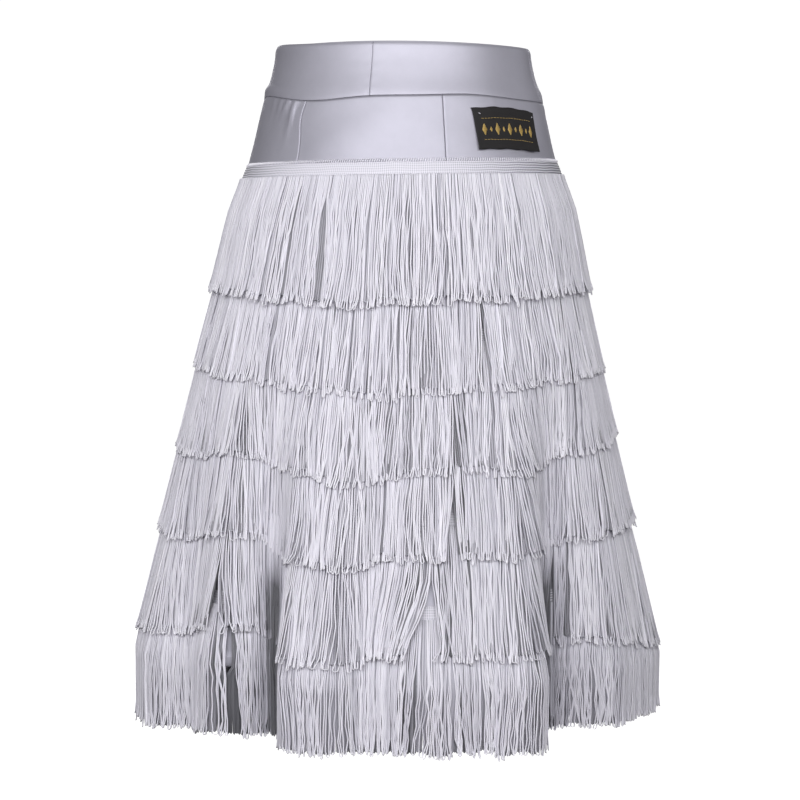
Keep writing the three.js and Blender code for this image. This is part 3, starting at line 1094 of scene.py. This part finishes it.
def build_stitches():
    """Machine stitches: beside the waistband's seams, and round the turned-up hem."""
    paths, normals = [], []
    levels = np.arange(3, BAND_DROP - 2, 2.3)
    for seam in BAND_SEAMS:
        _, _, per_degree = across(seam, BAND_DROP / 2)
        for side in (-1.3, 1.3):
            at = np.full_like(levels, seam + side / per_degree)
            made = stitch_row(at, dipped(levels, at), band_out(at, levels), 0.1, 0.9, 0.1)
            paths.append(made[0])
            normals.append(made[1])
    band = thread_piece("band_stitches", np.concatenate(paths), np.concatenate(normals), 0.22)
    angles, arcs = arc_table(HEM_DROP)
    at = np.interp(np.arange(0, arcs[-1] - 3, 3.0), arcs, angles)
    drops = np.full_like(at, HEM_DROP - 9.5)
    made = stitch_row(at, drops, gore_out(at, drops), 0.42, 0, 0.15)
    hem = thread_piece("hem_stitches", *made, 0.25)
    return [band, hem]


build_waistband()
gores = build_gores()
braids = [build_braid(i, tier) for i, tier in enumerate(TIERS)]
overlock = build_overlock()
fringes = [build_fringe(i, tier) for i, tier in enumerate(TIERS)]
stitches = build_stitches()
label, label_width = build_label()
ornament = build_label_ornament()
tacks = label_threads("label_tacks", LABEL_TACKS, 0.45, THREAD, 0.4)

for gore, seam in zip(gores, GORE_SEAMS):
    width, length, area = gore_cut(seam)


# Studio

FLOOR_HEIGHT = -1.02
CAMERA_AZIMUTH = 17
CAMERA_DISTANCE = 2.5
CAMERA_HEIGHT = -0.1455
CAMERA_PITCH = 4.1
CAMERA_SHIFT_X = 0.0032
CAMERA_ROLL = 0.4
LENS_MM = 112.5
WORLD_STRENGTH = 0.12

# Soft lights that face the skirt's middle: name, azimuth, distance and height in
# metres, width and height of the light, power.
LIGHT_AIM = Vector((0, 0, -0.3))
LIGHTS = [
    ("key", 9, 2.3, 0.6, (5.0, 1.0), 104),
    ("back", 197, 3.2, 1.0, (2.4, 1.4), 75),
    ("left side", 118, 3.2, 1.0, (1.8, 1.4), 12),
    ("right side", 276, 3.2, 1.0, (1.8, 1.4), 6),
]


def around(azimuth, distance, height):
    turn = math.radians(azimuth)
    return Vector((math.sin(turn) * distance, -math.cos(turn) * distance, height))


def build_stage():
    """A pale floor that curves up into a pale wall on every side, and spills no light."""
    rings, steps = 24, 96
    flat_radius, curve = 4.0, 2.5
    shares = np.linspace(0, 1, rings)
    radius = np.concatenate([[0.02], flat_radius + curve * np.sin(shares * np.pi / 2)])
    height = np.concatenate([[0], curve * (1 - np.cos(shares * np.pi / 2))]) + FLOOR_HEIGHT
    turns = np.linspace(0, 2 * np.pi, steps, endpoint=False)
    points = np.stack([
        radius[:, None] * np.cos(turns), radius[:, None] * np.sin(turns),
        np.broadcast_to(height[:, None], (len(radius), steps)),
    ], -1) / MM
    s = Shader("studio_floor")
    s.set(Roughness=0.9, Specular_IOR_Level=0.1, Emission_Color=(1, 1, 1, 1), Emission_Strength=1.0)
    cloud = s.noise(s.place(), 0.8)
    s.link(s.ramp(cloud, (0.2, (0.16, 0.16, 0.16)), (0.8, (0.2, 0.2, 0.2))), "Base Color")
    floor = mesh_object("studio_floor", points, grid_faces(len(radius), steps, wrap=True), s.material)
    floor.visible_diffuse = False
    floor.visible_glossy = False


def area_light(name, azimuth, distance, height, size, power):
    data = bpy.data.lights.new(name, "AREA")
    data.shape = "RECTANGLE"
    data.size, data.size_y = size
    data.energy = power
    lamp = bpy.data.objects.new(name, data)
    lamp.location = around(azimuth, distance, height)
    lamp.rotation_euler = (LIGHT_AIM - lamp.location).to_track_quat("-Z", "Y").to_euler()
    lamp.visible_camera = False
    bpy.context.scene.collection.objects.link(lamp)


def build_world():
    world = bpy.data.worlds.new("studio")
    bpy.context.scene.world = world
    world.use_nodes = True
    background = world.node_tree.nodes["Background"]
    background.inputs["Color"].default_value = (1, 1, 1, 1)
    background.inputs["Strength"].default_value = WORLD_STRENGTH


def build_camera():
    data = bpy.data.cameras.new("camera")
    data.lens = LENS_MM
    data.sensor_width = 36
    data.clip_end = 50
    data.shift_x = CAMERA_SHIFT_X
    camera = bpy.data.objects.new("camera", data)
    camera.location = around(CAMERA_AZIMUTH, CAMERA_DISTANCE, CAMERA_HEIGHT)
    turned = Euler((math.radians(90 - CAMERA_PITCH), 0, math.radians(CAMERA_AZIMUTH)))
    rolled = turned.to_quaternion() @ Quaternion((0, 0, 1), math.radians(CAMERA_ROLL))
    camera.rotation_euler = rolled.to_euler()
    bpy.context.scene.collection.objects.link(camera)
    bpy.context.scene.camera = camera


build_stage()
for light in LIGHTS:
    area_light(*light)
build_world()
build_camera()
bpy.context.scene.view_settings.view_transform = "Standard"
